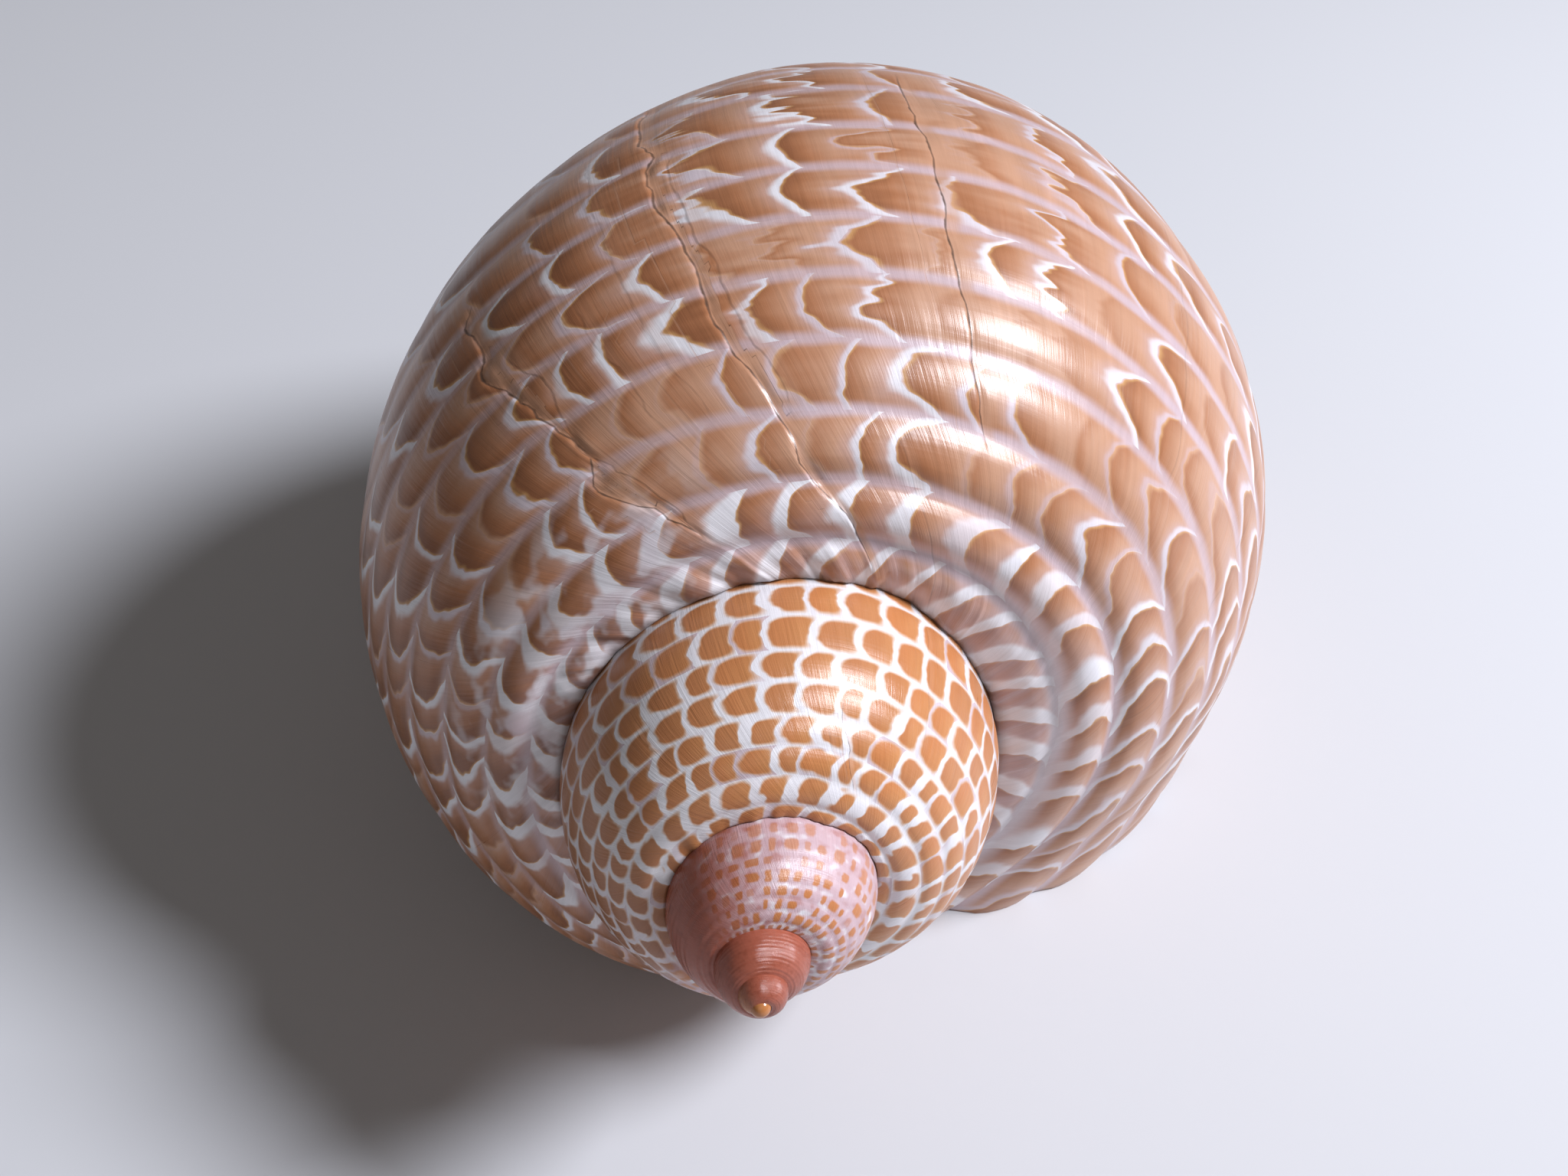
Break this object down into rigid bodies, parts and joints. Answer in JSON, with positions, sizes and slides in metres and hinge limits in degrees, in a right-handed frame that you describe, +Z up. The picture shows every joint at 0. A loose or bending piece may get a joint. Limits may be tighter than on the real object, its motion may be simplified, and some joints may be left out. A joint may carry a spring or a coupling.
{
  "type": "atlantic partridge tun shell",
  "caption": "Thin, swollen spiral sea shell with low spiral ribs and a very wide mouth, lying on its mouth.",
  "frame": {"origin": "centre of the bounding box's bottom, on the surface that the shell rests on", "axes": "+Z up, +Y from the tip of the spire towards the siphonal end, +X towards the outer lip"},
  "size_m": [0.0786, 0.1166, 0.0604],
  "materials": {
    "shell": "glossy shell, orange brown cells with pale lines and crescents on low spiral ribs"
  },
  "bodies": {
    "root": {"shell": "shell"}
  },
  "joints": []
}
